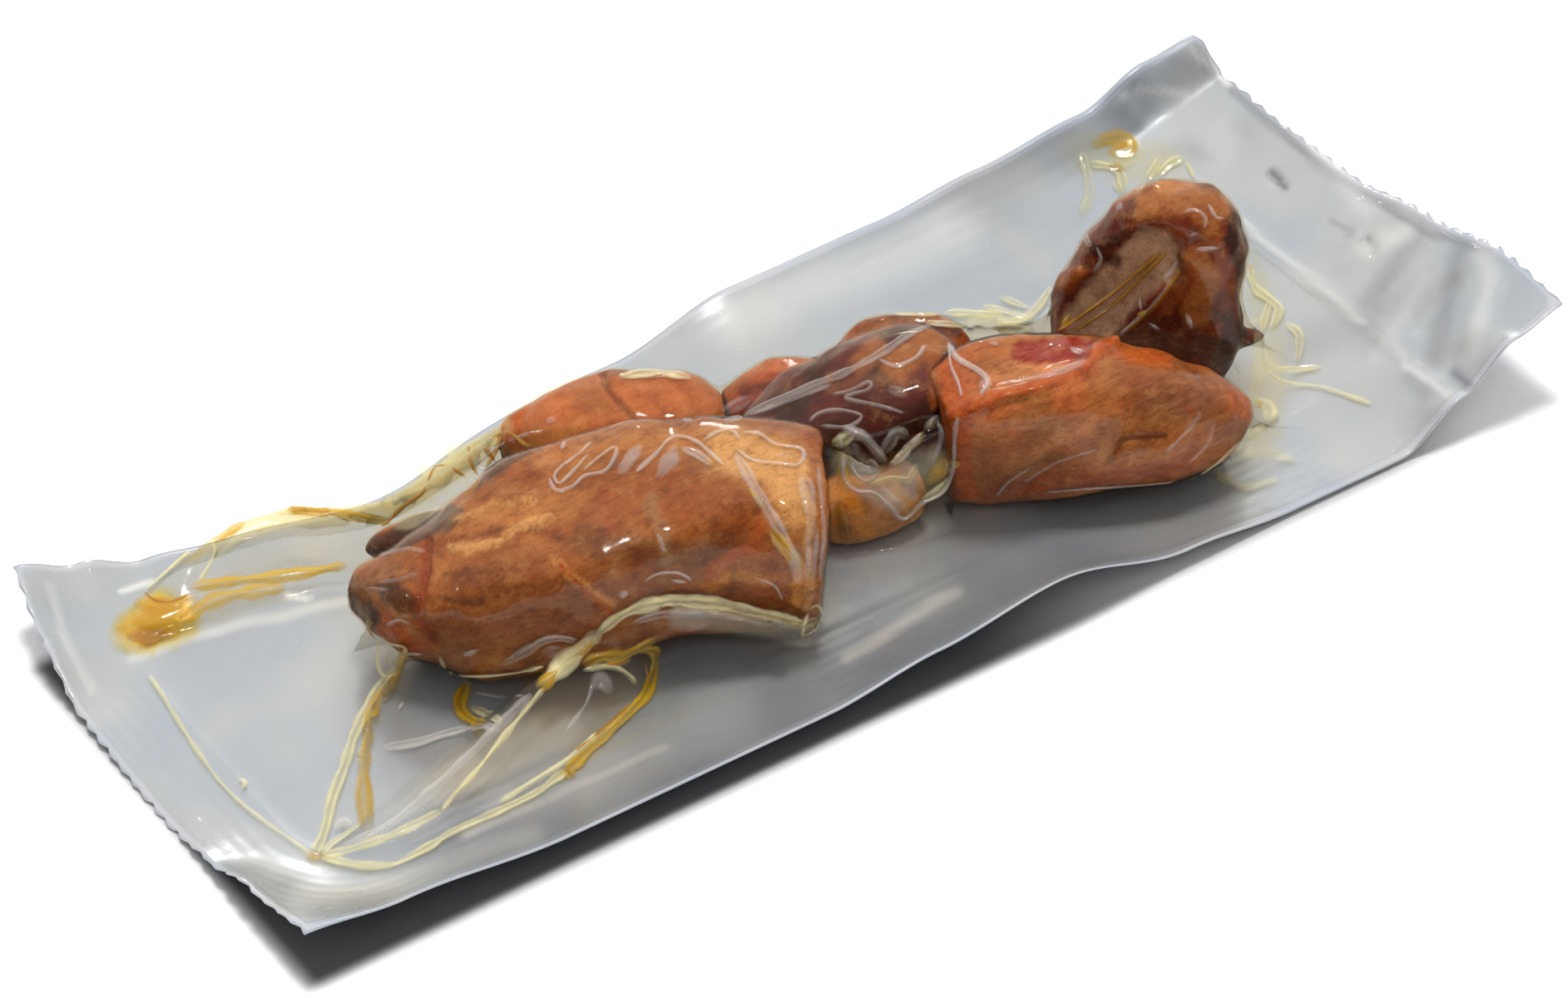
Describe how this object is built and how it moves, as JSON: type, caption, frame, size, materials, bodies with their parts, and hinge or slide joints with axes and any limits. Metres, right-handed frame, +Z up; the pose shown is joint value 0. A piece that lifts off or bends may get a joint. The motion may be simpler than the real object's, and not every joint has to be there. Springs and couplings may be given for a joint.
{
  "type": "ham bites pack",
  "caption": "Long flat vacuum pack: pieces of cooked ham shrunk under clear film on a curled silver backing web with toothed short ends.",
  "frame": {"origin": "middle of the pack's footprint, on the surface it lies on", "axes": "+X along the pack towards its raised end, +Y across it to the back edge, +Z up"},
  "size_m": [0.2578, 0.1, 0.0407],
  "materials": {
    "web": "satin silver laminate",
    "film": "clear glossy shrink film with pale yellow juice in its folds",
    "ham_brown": "moist cooked ham, caramel brown",
    "ham_orange": "moist cooked ham, orange brown with pink",
    "ham_dark": "moist cured ham, dark maroon to brown"
  },
  "bodies": {
    "root": {"backing_web": "web", "clear_film": "film", "ham_front_left": "ham_brown", "ham_front_right": "ham_orange", "ham_far_right": "ham_dark", "ham_foot": "ham_brown", "ham_middle": "ham_dark", "ham_back_left": "ham_orange", "ham_back_middle": "ham_orange", "ham_back_right": "ham_dark"}
  },
  "joints": []
}
